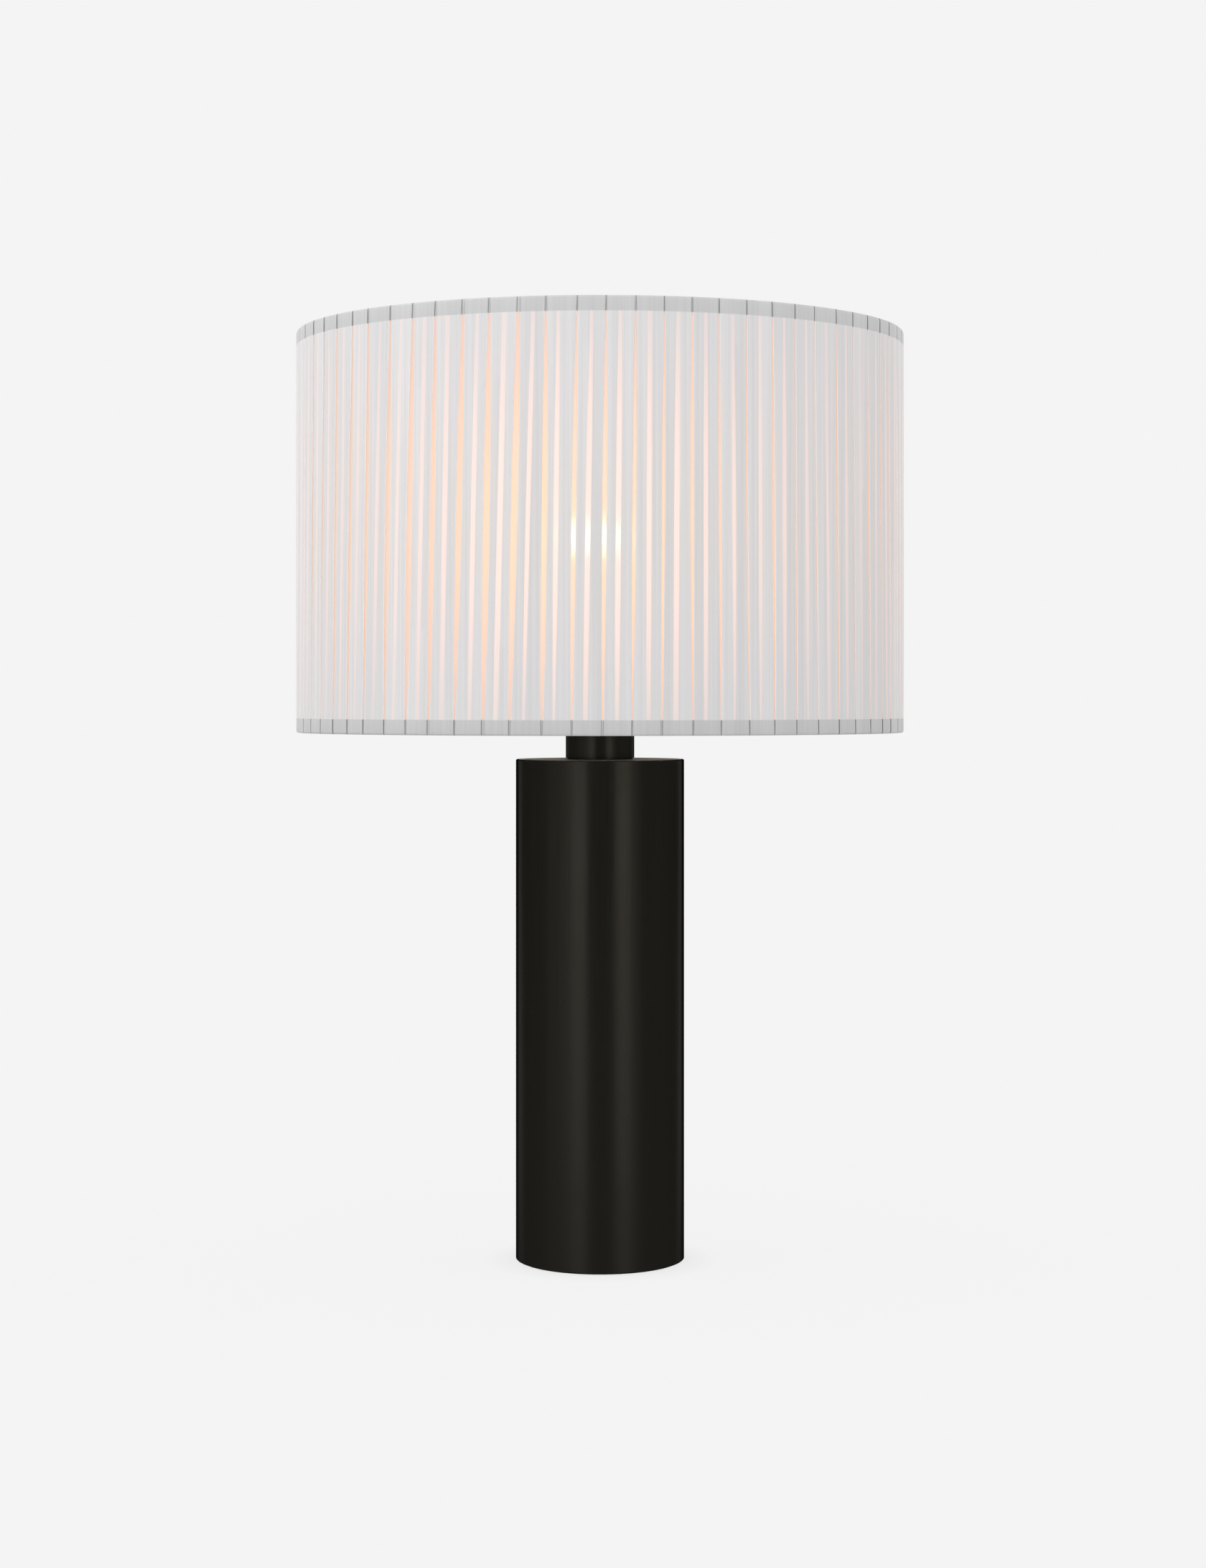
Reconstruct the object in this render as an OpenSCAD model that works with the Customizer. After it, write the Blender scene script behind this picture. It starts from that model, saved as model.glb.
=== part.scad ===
// Table lamp: a heavy cylindrical metal base, a short neck with a harp over the bulb,
// and a box-pleated drum shade that the finial holds on the harp.
// All sizes are in millimetres. Z points up from the table, the switch knob faces -Y
// and the cord inlet is low at the back, +Y.

/* [Base] */
// Outer diameter of the cylindrical base
base_d = 113; // [96:1:136]
// Height of the flat top of the base above the table
base_h = 336; // [260:1:400]
// Wall of the base tube
tube_wall = 1.5; // [1:0.1:2.5]
// Thickness of the plate that closes the base at the top
top_plate_t = 3; // [2:0.5:5]
// Width of the two ledges inside the tube, under the top plate and over the weight
ledge_w = 3.5; // [2.5:0.5:5]
// Thickness of those ledges
ledge_t = 3; // [2:0.5:4]
// Bevel of the outer edges of the tube
edge_bevel = 0.5; // [0.2:0.1:0.8]
// Height of the lower edge of the tube above the table
tube_lift = 1; // [0.5:0.1:1.5]

/* [Weight and underside] */
// Height of the cast weight
weight_h = 40; // [30:1:70]
// Depth of the pocket under the weight, which holds the nut and the leads
pocket_depth = 20; // [18:0.5:24]
// Width of the annulus between the washer and the wall of the pocket
pocket_margin = 3; // [2:0.5:5]
// Thickness of the plate that covers the weight
cover_t = 1.5; // [1:0.1:2]
// Thickness of the felt ring that the lamp stands on
pad_t = 2.5; // [2:0.1:4]
// Distance of the felt ring from the wall of the tube
pad_inset = 1; // [0.5:0.5:3]
// Number of screws that hold the cover
cover_screw_count = 3; // [3:1:5]
// Shank diameter of a cover screw
cover_screw_d = 4; // [3:0.5:5]
// Head diameter of a cover screw
cover_screw_head_d = 7.2; // [6.5:0.1:8]
// Length of a cover screw in the weight
cover_screw_l = 9; // [7:1:14]
// Width of the slots in the screw heads
screw_slot_w = 1; // [0.6:0.1:1.2]
// Depth of the cross slots in the cover screws
screw_slot_depth = 0.7; // [0.5:0.1:1]
// Gap between the rod and the hole in the weight
rod_room = 0.5; // [0.3:0.1:1]

/* [Cord inlet] */
// Bore of the bushing that the cord comes in through
inlet_bore_d = 7.2; // [6:0.1:8]
// Wall of the bushing
bushing_wall = 1.3; // [1:0.1:1.6]
// Width of the bushing's flange outside its barrel
bushing_flange_w = 2.1; // [1.5:0.1:2.6]
// Thickness of the bushing's flange
bushing_flange_t = 2; // [1.5:0.1:3]
// Length and height of the lip that holds the bushing inside the wall
bushing_lip = 0.7; // [0.4:0.1:1]
// Reach of the bushing inside the tube
bushing_reach = 4; // [3:0.5:6]
// Gap beside the bushing's lip in the channel of the weight
channel_room = 0.4; // [0.3:0.1:1]
// Drop of the leads below the rod before they bend towards the inlet
lead_drop = 0.5; // [0.3:0.1:1]
// Distance between the ends of the leads and the bushing
lead_stop = 2; // [1:0.5:4]

/* [Rod and neck] */
// Outer diameter of the hollow threaded rod
rod_d = 10.3; // [9.5:0.1:11]
// Bore of the rod
rod_bore_d = 6.6; // [6.2:0.1:7.4]
// Length of rod below the lower nut
rod_tail = 1.5; // [1:0.1:2]
// Width of a rod nut across its flats
nut_af = 15.9; // [15:0.1:17.5]
// Thickness of a rod nut
nut_t = 5; // [4:0.5:6]
// Diameter of the washer over the lower nut
washer_d = 28; // [24:1:34]
// Thickness of the washer
washer_t = 1.6; // [1.2:0.1:2.4]
// Outer diameter of the neck
neck_d = 46; // [38:1:50]
// Height of the neck above the base, its foot ring included
neck_h = 36; // [26:1:50]
// Wall of the neck
neck_wall = 1.5; // [1:0.1:2.5]
// Thickness of the closed top of the neck
neck_top_t = 2; // [1.5:0.1:3]
// Thickness of the foot ring under the neck
neck_ring_t = 1; // [0.6:0.1:1.4]
// How far the foot ring stands back from the outside of the neck
neck_ring_inset = 1; // [0.6:0.1:1.2]

/* [Harp] */
// Height from the top of the neck to the seat of the shade
harp_h = 216; // [200:1:250]
// Width of the harp between the centres of its legs
harp_w = 116; // [104:1:130]
// Diameter of the harp wire
harp_wire_d = 3.2; // [2.8:0.1:3.6]
// Splay of the harp legs above the feet, in degrees
splay = 35; // [25:1:45]
// Radius of the bends at both ends of the splay
splay_bend_r = 22; // [16:1:28]
// Depth of the harp wire below the seat of the shade
wire_drop = 3; // [2.5:0.1:4]
// Outer distance between the ears of the saddle
ear_span = 57; // [54:1:62]
// Width of the saddle strip
saddle_w = 16; // [14:1:18]
// Thickness of the saddle strip
saddle_t = 1.5; // [1.2:0.1:2]
// Height of the shoulders of the ears above the neck
ear_shoulder_h = 10; // [8:0.5:12]
// Width of the shoulders beside a locking sleeve
shoulder_w = 1; // [0.5:0.1:2]
// Width of the tabs that the locking sleeves slide over
tab_w = 5; // [4:0.5:6]
// How far the tabs stand above the sleeves
tab_rise = 2; // [1:0.5:3]
// Gap between a shoulder and the foot of the harp
foot_lift = 1; // [0.5:0.1:1.5]
// Length of a locking sleeve
sleeve_l = 14; // [12:0.5:18]
// Wall of a locking sleeve
sleeve_wall = 0.8; // [0.6:0.1:1.2]
// Travel of a locking sleeve up its leg
sleeve_travel = 12; // [8:1:14]
// Diameter of the stud on top of the harp
stud_d = 6.35; // [5.8:0.05:7]
// Length of the stud above the hub of the shade
stud_l = 9; // [7:0.5:11]
// Diameter of the seat under the stud
seat_d = 11; // [10:0.5:14]
// Height of that seat
seat_h = 7; // [6.4:0.1:8]

/* [Socket] */
// Height of the socket cap
cap_h = 17; // [16:0.5:18]
// Height of the threaded hub inside the cap
cap_hub_h = 7; // [6:0.5:8]
// Wall of the threaded hub
cap_hub_wall = 2.3; // [2:0.1:3]
// Depth of the floor of the cap below the top of the hub
cap_floor_drop = 2; // [1:0.5:4]
// Distance of the rod's end below the top of the hub
rod_stop = 1; // [0.5:0.1:2]
// Sheet thickness of the cap
cap_t = 0.6; // [0.4:0.1:0.8]
// Radius of the shoulder of the cap
cap_shoulder_r = 5; // [4:0.5:5.5]
// Sheet thickness of the socket shell
shell_t = 0.5; // [0.3:0.1:0.8]
// How far the shell reaches down into the cap
shell_overlap = 5; // [4:0.5:5.5]
// How far the shell stands above the screw shell
shell_rise = 2.5; // [1.5:0.5:4]
// Thickness of the fibre insulator inside the shell
insulator_t = 0.7; // [0.5:0.1:1]
// Free height between the hub and the socket body, for the leads
lead_room = 5.5; // [5:0.1:7]
// Height of the lower block of the socket body
block_h = 13.5; // [13:0.5:16]
// Diameter of the lower block
block_d = 22; // [20:0.5:23]
// Thickness of the flange that carries the screw shell
flange_t = 4; // [3:0.5:6]
// Width of the flange outside the screw shell
flange_w = 0.9; // [0.6:0.1:1]
// Height of the centre contact
contact_h = 2; // [1.5:0.1:3]
// Diameter of the centre contact
contact_d = 8; // [6:0.5:10]
// Height of the screw shell
thread_h = 27.5; // [26:0.5:29]
// Sheet thickness of the screw shell
screw_shell_t = 0.5; // [0.3:0.1:0.7]
// Shank diameter of a terminal screw and of the set screw
small_screw_d = 3; // [2.6:0.1:3.4]
// Head diameter of a terminal screw
terminal_head_d = 6.4; // [5.6:0.1:6.8]
// Head thickness of a terminal screw
terminal_head_t = 1.8; // [1.4:0.1:2]
// Depth of a terminal screw in the block
terminal_depth = 4; // [3:0.5:5]
// Distance of a terminal screw's head from the block
terminal_rise = 1.2; // [1:0.1:1.5]
// How far the set screw stands out of the hub
set_screw_proud = 0.8; // [0.4:0.1:1]
// Diameter of one insulated lead
lead_d = 2.6; // [2.2:0.1:2.8]

/* [Switch] */
// Diameter of the switch shaft
switch_shaft_d = 4; // [3.4:0.1:4.4]
// Height of the shaft above the middle of the block
switch_rise = 1.5; // [1.2:0.1:2]
// Depth of the shaft in the block
shaft_depth = 6; // [4:0.5:6]
// Gap between the shaft and the holes in the shell
shaft_room = 0.6; // [0.4:0.1:1]
// Distance of the knob from the socket
knob_gap = 1; // [0.5:0.1:2]
// Diameter of the round part of the knob
knob_d = 9; // [7:0.5:11]
// Thickness of the round part
knob_t = 3; // [2:0.5:4]
// Width of the flat grip
grip_w = 12; // [9:0.5:15]
// Thickness of the flat grip
grip_t = 3; // [2:0.1:4]
// Length of the flat grip
grip_l = 13; // [10:0.5:16]

/* [Bulb] */
// Diameter of the glass globe
bulb_d = 60; // [50:1:66]
// Length of the bulb from its contact to its top
bulb_l = 109; // [100:1:120]
// Outer diameter of the screw base
bulb_base_d = 26.1; // [25.8:0.1:26.6]
// Height of the screw base
bulb_base_h = 26; // [24:0.5:27]
// Sheet thickness of the screw base
bulb_base_t = 0.4; // [0.3:0.05:0.6]
// Wall of the glass
glass_t = 0.8; // [0.5:0.1:1.2]
// Height at which the neck of the glass starts to widen
glass_neck_h = 29; // [28:0.5:32]
// How far the glass reaches down into the screw base
glass_depth = 2; // [1:0.5:4]
// Diameter of the lower opening of the screw base
bulb_lip_d = 17; // [15:0.5:18]
// Height of that opening above the contact
bulb_lip_h = 3.2; // [2.4:0.1:4]
// Height of the cone between the opening and the thread
bulb_cone_h = 2.8; // [2:0.1:4]
// Height of the insulator inside the screw base
bulb_plug_h = 1.8; // [1.2:0.1:2.4]
// Diameter of the contact under the base
bulb_contact_d = 9; // [8:0.5:10]
// Thickness of that contact
bulb_contact_t = 1; // [0.6:0.1:1.2]
// Diameter of the glass stem inside
stem_d = 8; // [6:0.5:10]
// Width of the filament
filament_w = 26; // [18:1:32]
// Height of the filament above the stem
filament_rise = 15; // [10:1:20]
// Diameter of the wires that carry the filament
filament_wire_d = 0.8; // [0.6:0.1:1]
// Diameter of the filament's coil
filament_coil_d = 1.8; // [1.4:0.1:2.2]

/* [Shade] */
// Diameter of the drum shade
shade_d = 406; // [340:2:460]
// Height of the shade
shade_h = 266; // [220:1:320]
// Depth of the hub below the top edge of the shade
hub_recess = 32; // [28:1:48]
// Number of box pleats
pleat_count = 70; // [48:2:90]
// Width of the gap between two pleats
pleat_gap = 3.8; // [3:0.1:6]
// Depth of the gap between two pleats
pleat_depth = 1; // [0.6:0.1:1.2]
// Thickness of the pleated cover from the liner to the faces of the pleats
pleated_t = 1.5; // [1.4:0.1:2]
// Thickness of the stiff liner
liner_t = 0.5; // [0.3:0.1:0.8]
// How far the liner stops short of the edges of the cover
liner_inset = 0.5; // [0.3:0.1:1]
// Thickness of the binding tapes
tape_t = 0.4; // [0.3:0.1:0.6]
// Height of the binding tapes
tape_h = 9; // [7:0.5:12]
// Wire diameter of the two rings
ring_wire_d = 3.8; // [3:0.2:4.4]
// Depth of the rings inside the edges
ring_inset = 3; // [2.8:0.1:4]
// Wire diameter of the spider arms
arm_wire_d = 3.4; // [2.8:0.2:3.6]
// Number of spider arms
arm_count = 3; // [3:1:4]
// Radius of the bend where an arm turns up to the ring
arm_bend_r = 12; // [8:1:18]
// Diameter of the hub washer
hub_d = 28; // [26:1:34]
// Thickness of the hub washer
hub_t = 1.5; // [1:0.1:2]
// Hole of the hub washer
hub_hole_d = 10; // [8:0.1:10]

/* [Finial] */
// Diameter of the finial's head
finial_d = 18; // [14:1:20]
// Height of the finial
finial_h = 26; // [22:1:27]
// Diameter of its foot
finial_foot_d = 14; // [12:0.5:16]
// Thickness of its foot
finial_foot_t = 2.5; // [2:0.5:4]
// Diameter of its stem
finial_stem_d = 10.4; // [9.4:0.1:11.4]
// Height of the stem's top
finial_stem_h = 8; // [6:0.5:10]
// Bevel on the head's edges
finial_bevel = 1; // [0.4:0.1:1.6]
// Depth of the bore above the end of the stud
finial_spare = 3; // [2:0.5:5]

/* [Fits] */
// Gap round a fixed piece that sits in another
slip = 0.1; // [0.05:0.01:0.15]
// Radial gap of the turning shaft and of the finial's thread
shaft_gap = 0.08; // [0.03:0.01:0.1]
// Gap between loose pieces that slide or lift apart
running_gap = 0.3; // [0.2:0.05:0.35]

/* [Hidden] */
$fn = 96;

// Lengths that only let a cut run past a face
past = 1;
// Sides of a swept tube, and its steps round a short bend and round the harp's crown
tube_sides = 12;
bend_steps = 6;
crown_steps = 30;

// Base: radii and heights
base_r = base_d / 2;
tube_in_r = base_r - tube_wall;
ledge_r = tube_in_r - ledge_w;
plate_z = base_h - top_plate_t;
weight_z = pad_t + cover_t;
weight_top = weight_z + weight_h;
weight_r = tube_in_r - 2 * slip;
pocket_r = washer_d / 2 + pocket_margin;
pocket_top = weight_z + pocket_depth;
rod_r = rod_d / 2;
weight_hole_r = rod_r + rod_room;

// Underside: the screws stand between the pocket and the felt ring
cover_screw_ring_r = pocket_r + cover_screw_head_d;
pad_in_r = cover_screw_ring_r + cover_screw_head_d;
pad_out_r = tube_in_r - pad_inset;
cover_r = tube_in_r - 3 * slip;
cover_screw_turn = -90;
cover_screw_slot_l = cover_screw_head_d * 2 / 3;

// Lower end of the rod, and the height at which the leads and the cord inlet lie
washer_z = pocket_top - washer_t;
rod_nut_z = washer_z - nut_t;
rod_z = rod_nut_z - rod_tail;
lead_r = lead_d / 2;
lead_bend_r = lead_d;
inlet_z = rod_z - lead_drop - lead_bend_r;
inlet_r = inlet_bore_d / 2;
bushing_r = inlet_r + bushing_wall;
bushing_lip_r = bushing_r + bushing_lip;
bushing_flange_r = bushing_r + bushing_flange_w;
bushing_in_y = tube_in_r - bushing_reach;
bushing_out_y = base_r + bushing_flange_t;
channel_w = 2 * (bushing_lip_r + channel_room);

// Neck, saddle and socket, from the base upwards
neck_r = neck_d / 2;
neck_top = base_h + neck_h;
saddle_top = neck_top + saddle_t;
socket_z = saddle_top + nut_t;
hub_top = socket_z + cap_hub_h;
cap_top = socket_z + cap_h;
cap_cup_z = hub_top - cap_floor_drop;
rod_top = hub_top - rod_stop;
block_z = hub_top + lead_room;
block_mid_z = block_z + block_h / 2;
flange_z = block_z + block_h;
contact_z = flange_z + flange_t;
contact_top = contact_z + contact_h;
screw_shell_top = contact_z + thread_h;
shell_z = cap_top - shell_overlap;
shell_top = screw_shell_top + shell_rise;
switch_z = block_mid_z + switch_rise;

// Socket radii, from the screw base of the bulb outwards
bulb_base_r = bulb_base_d / 2;
screw_shell_in_r = bulb_base_r + running_gap;
screw_shell_r = screw_shell_in_r + screw_shell_t;
flange_r = screw_shell_r + flange_w;
insulator_in_r = flange_r + slip;
insulator_r = insulator_in_r + insulator_t;
shell_in_r = insulator_r + slip;
shell_r = shell_in_r + shell_t;
cap_in_r = shell_r + slip;
cap_r = cap_in_r + cap_t;
cap_hub_r = rod_r + cap_hub_wall;
block_r = block_d / 2;
small_screw_r = small_screw_d / 2;
switch_shaft_r = switch_shaft_d / 2;
shaft_hole_r = switch_shaft_r + shaft_room;
knob_y = cap_r + knob_gap;
terminal_head_x = block_r + terminal_rise;
set_screw_z = socket_z + cap_hub_h / 3;
set_screw_turn = 45;

// Leads: the place of one lead in the rod and beside its terminal
lead_bore_x = lead_r + slip / 2;
lead_top_turn = 26;
lead_top_r = block_r + lead_r + running_gap;
lead_top = lead_top_r * [cos(lead_top_turn), sin(lead_top_turn)];
lead_run = lead_top - [lead_bore_x, 0];
lead_run_l = norm(lead_run);
lead_run_turn = atan2(lead_run.y, lead_run.x);
lead_shelf_z = hub_top + lead_room / 2;

// Harp: feet, splay and top
harp_wire_r = harp_wire_d / 2;
harp_r = harp_w / 2;
seat_z = neck_top + harp_h;
ear_x = ear_span / 2;
foot_x = ear_x + slip + harp_wire_r;
shoulder_z = neck_top + ear_shoulder_h;
foot_z = shoulder_z + foot_lift;
tab_top = shoulder_z + sleeve_l + tab_rise;
foot_top = tab_top + sleeve_travel;
splay_l = (harp_r - foot_x - 2 * splay_bend_r * (1 - cos(splay))) / sin(splay);
leg_z = foot_top + 2 * splay_bend_r * sin(splay) + splay_l * cos(splay);
crown_z = seat_z - wire_drop - harp_r;
stud_r = stud_d / 2;
stud_top = seat_z + hub_t + 2 * slip + stud_l;
stud_groove_turn = 30;

// Locking sleeves: the bore just clears the tab and the foot of the harp
sleeve_stack = saddle_t + slip + harp_wire_d;
sleeve_x = ear_x - saddle_t + sleeve_stack / 2;
sleeve_in_r = norm([sleeve_stack / 2, tab_w / 2]) + running_gap;
sleeve_r = sleeve_in_r + sleeve_wall;
sleeve_z = shoulder_z + running_gap;
ear_w = 2 * (sleeve_r + shoulder_w);

// Bulb
bulb_r = bulb_d / 2;
bulb_z = contact_top + running_gap;
globe_z = bulb_z + bulb_l - bulb_r;
glass_neck_r = bulb_base_r - bulb_base_t - slip;
glass_z = bulb_z + bulb_base_h - glass_depth;
glass_arc_z = bulb_z + glass_neck_h;
bulb_lip_r = bulb_lip_d / 2;
filament_z = globe_z;
stem_top = filament_z - filament_rise;
filament_wire_r = filament_wire_d / 2;
filament_coil_r = filament_coil_d / 2;

// Shade, from the harp's seat upwards and from the outside inwards
shade_r = shade_d / 2;
hub_z = seat_z + slip;
shade_top = hub_z + hub_recess;
shade_z = shade_top - shade_h;
pleated_in_r = shade_r - pleated_t;
liner_r = pleated_in_r - slip;
tape_r = liner_r - liner_t - slip;
ring_wire_r = ring_wire_d / 2;
ring_r = tape_r - tape_t - slip - ring_wire_r;
top_ring_z = shade_top - ring_inset;
bottom_ring_z = shade_z + ring_inset;
arm_r = arm_wire_d / 2;
arm_z = hub_z + hub_t / 2;
arm_turn = 90;
pleat_turn = 360 / pleat_count;
gap_turn = 2 * asin(pleat_gap / 2 / shade_r);

// Finial
finial_z = hub_z + hub_t + slip;
finial_bore_depth = stud_l + finial_spare;

// Colours, as sRGB
bronze = [0.15, 0.145, 0.13];
steel = [0.6, 0.6, 0.58];
iron = [0.25, 0.25, 0.26];
felt = [0.12, 0.13, 0.12];
black_plastic = [0.06, 0.06, 0.06];
nickel = [0.72, 0.71, 0.68];
brass = [0.78, 0.62, 0.32];
fibre = [0.72, 0.6, 0.42];
lead_white = [0.85, 0.84, 0.8];
frosted_glass = [0.97, 0.95, 0.9];
clear_glass = [0.8, 0.87, 0.86];
cloth_white = [0.9, 0.885, 0.875];
liner_white = [0.95, 0.94, 0.92];
tape_white = [0.8, 0.79, 0.78];

// A ring with a square section
module band(r_out, r_in, h) {
    difference() {
        cylinder(r = r_out, h = h);
        translate([0, 0, -past])
            cylinder(r = r_in, h = h + 2 * past);
    }
}

// A straight wire in the XZ plane between two points given as [x, z]
module wire(from, to, r) {
    run = to - from;
    translate([from.x, 0, from.y])
        rotate([0, atan2(run.x, run.y), 0])
            cylinder(r = r, h = norm(run));
}

// A bent wire in the XZ plane, turning about centre from one angle to another
module wire_bend(centre, bend_r, from, to, r) {
    translate([centre.x, 0, centre.y])
        rotate([90, 0, 0])
            rotate([0, 0, from])
                rotate_extrude(angle = to - from)
                    translate([bend_r, 0])
                        circle(r = r);
}

// Points in the XZ plane along an arc, both ends included
function arc_xz(centre, r, from, to, steps) = [
    for (i = [0 : steps])
        let (turn = from + (to - from) * i / steps)
            [centre.x + r * cos(turn), 0, centre.y + r * sin(turn)]
];

function unit(v) = v / norm(v);
function heading(route, i) =
    i == 0 ? unit(route[1] - route[0]) :
    i == len(route) - 1 ? unit(route[i] - route[i - 1]) :
    unit(unit(route[i + 1] - route[i]) + unit(route[i] - route[i - 1]));

// Sideways directions along a route, carried from point to point without twist
function carried(side, ahead) = unit(side - (side * ahead) * ahead);
function sideways(route, first) = [
    for (
        i = 0, side = carried(first, heading(route, 0));
        i < len(route);
        i = i + 1, side = i < len(route) ? carried(side, heading(route, i)) : side
    ) side
];

// A faceted tube along a route of points, with flat ends
module tube_along(route, r, first_side) {
    n = tube_sides;
    last = (len(route) - 1) * n;
    sides = sideways(route, first_side);
    rings = [
        for (i = [0 : len(route) - 1])
            let (up = cross(heading(route, i), sides[i]))
                for (k = [0 : n - 1])
                    route[i] + r * (cos(k * 360 / n) * sides[i] + sin(k * 360 / n) * up)
    ];
    skin = [
        for (i = [0 : len(route) - 2])
            for (k = [0 : n - 1])
                let (a = i * n + k, b = i * n + (k + 1) % n)
                    each [[a, a + n, b], [b, a + n, b + n]]
    ];
    ends = [
        for (k = [1 : n - 2])
            each [[0, k, k + 1], [last, last + k + 1, last + k]]
    ];
    polyhedron(points = rings, faces = concat(skin, ends));
}

// A closed wire ring round the Z axis
module wire_ring(ring_r, wire_r) {
    rotate_extrude()
        translate([ring_r, 0])
            circle(r = wire_r);
}

module hex_nut() {
    difference() {
        cylinder(d = nut_af / cos(30), h = nut_t, $fn = 6);
        translate([0, 0, -past])
            cylinder(r = rod_r + slip / 2, h = nut_t + 2 * past);
    }
}

// A disc with a hole for the rod
module rod_disc(r, h) {
    band(r, rod_r + slip, h);
}

// Places its children at each cover screw, on the underside of the cover
module at_cover_screws() {
    for (i = [0 : cover_screw_count - 1])
        rotate([0, 0, cover_screw_turn + i * 360 / cover_screw_count])
            translate([cover_screw_ring_r, 0, pad_t])
                children();
}

// A round bore along Y through the back wall of the base
module inlet_bore(r, y_from, y_to) {
    translate([0, y_from, inlet_z])
        rotate([-90, 0, 0])
            cylinder(r = r, h = y_to - y_from);
}

// A round bar along the switch's axis, from the inner end to the outer end towards -Y
module switch_bar(r, y_in, y_out) {
    translate([0, -y_in, switch_z])
        rotate([90, 0, 0])
            cylinder(r = r, h = y_out - y_in);
}

module column_tube() {
    color(bronze)
        difference() {
            rotate_extrude()
                polygon([
                    [tube_in_r, tube_lift],
                    [base_r - edge_bevel, tube_lift],
                    [base_r, tube_lift + edge_bevel],
                    [base_r, base_h - edge_bevel],
                    [base_r - edge_bevel, base_h],
                    [tube_in_r, base_h],
                    [tube_in_r, plate_z],
                    [ledge_r, plate_z],
                    [ledge_r, plate_z - ledge_t],
                    [tube_in_r, plate_z - ledge_t],
                    [tube_in_r, weight_top + ledge_t],
                    [ledge_r, weight_top + ledge_t],
                    [ledge_r, weight_top],
                    [tube_in_r, weight_top],
                ]);
            inlet_bore(bushing_r + slip, ledge_r, base_r + past);
        }
}

module top_plate() {
    color(bronze)
        translate([0, 0, plate_z])
            rod_disc(tube_in_r - slip, top_plate_t);
}

module base_weight() {
    color(iron)
        difference() {
            translate([0, 0, weight_z])
                cylinder(r = weight_r, h = weight_h);
            translate([0, 0, weight_z - past])
                cylinder(r = weight_hole_r, h = weight_h + 2 * past);
            translate([0, 0, weight_z - past])
                cylinder(r = pocket_r, h = pocket_depth + past);
            translate([-channel_w / 2, 0, weight_z - past])
                cube([channel_w, base_r, pocket_depth + past]);
            at_cover_screws()
                cylinder(d = cover_screw_d + slip, h = cover_t + cover_screw_l + past);
        }
}

module bottom_cover() {
    color(steel)
        difference() {
            translate([0, 0, pad_t])
                cylinder(r = cover_r, h = cover_t);
            at_cover_screws() {
                cover_screw_head(slip);
                cylinder(d = cover_screw_d + 2 * slip, h = cover_t + past);
            }
        }
}

// The countersunk head, or with a gap the seat for it
module cover_screw_head(gap) {
    cylinder(r1 = cover_screw_head_d / 2 + gap, r2 = cover_screw_d / 2 + gap, h = cover_t);
}

module cover_screws() {
    color(steel)
        at_cover_screws()
            difference() {
                union() {
                    cover_screw_head(0);
                    cylinder(d = cover_screw_d, h = cover_t + cover_screw_l);
                }
                for (turn = [0, 90])
                    rotate([0, 0, turn])
                        translate([-cover_screw_slot_l / 2, -screw_slot_w / 2, -past])
                            cube([cover_screw_slot_l, screw_slot_w, screw_slot_depth + past]);
            }
}

module foot_pad() {
    color(felt)
        band(pad_out_r, pad_in_r, pad_t);
}

module cord_bushing() {
    color(black_plastic)
        difference() {
            union() {
                inlet_bore(bushing_r, bushing_in_y, bushing_out_y - bushing_flange_t / 2);
                difference() {
                    inlet_bore(bushing_flange_r, bushing_in_y, bushing_out_y);
                    cylinder(r = base_r + slip, h = 2 * inlet_z + bushing_flange_r);
                }
                intersection() {
                    inlet_bore(bushing_lip_r, bushing_in_y, base_r);
                    cylinder(r = tube_in_r - slip, h = 2 * inlet_z + bushing_flange_r);
                }
            }
            inlet_bore(inlet_r, bushing_in_y - past, bushing_out_y + past);
        }
}

module threaded_rod() {
    color(steel)
        translate([0, 0, rod_z])
            band(rod_r, rod_bore_d / 2, rod_top - rod_z);
}

module rod_washer() {
    color(steel)
        translate([0, 0, washer_z])
            rod_disc(washer_d / 2, washer_t);
}

module rod_nut() {
    color(steel)
        translate([0, 0, rod_nut_z])
            hex_nut();
}

module neck_ring() {
    color(bronze)
        translate([0, 0, base_h])
            rod_disc(neck_r - neck_ring_inset, neck_ring_t);
}

module neck_cup() {
    cup_h = neck_h - neck_ring_t;
    color(bronze)
        translate([0, 0, base_h + neck_ring_t])
            difference() {
                rod_disc(neck_r, cup_h);
                translate([0, 0, -past])
                    cylinder(r = neck_r - neck_wall, h = cup_h - neck_top_t + past);
            }
}

// The strip of the saddle, bent up at both ends, seen from the front
module saddle_strip() {
    bend_r = saddle_t;
    translate([bend_r - ear_x, 0])
        square([2 * (ear_x - bend_r), saddle_t]);
    for (side = [0, 1])
        mirror([side, 0])
            translate([ear_x - 2 * bend_r, 2 * bend_r]) {
                translate([bend_r, 0])
                    square([saddle_t, tab_top - neck_top - 2 * bend_r]);
                intersection() {
                    difference() {
                        circle(r = 2 * bend_r);
                        circle(r = bend_r);
                    }
                    translate([0, -2 * bend_r])
                        square(2 * bend_r);
                }
            }
}

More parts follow.
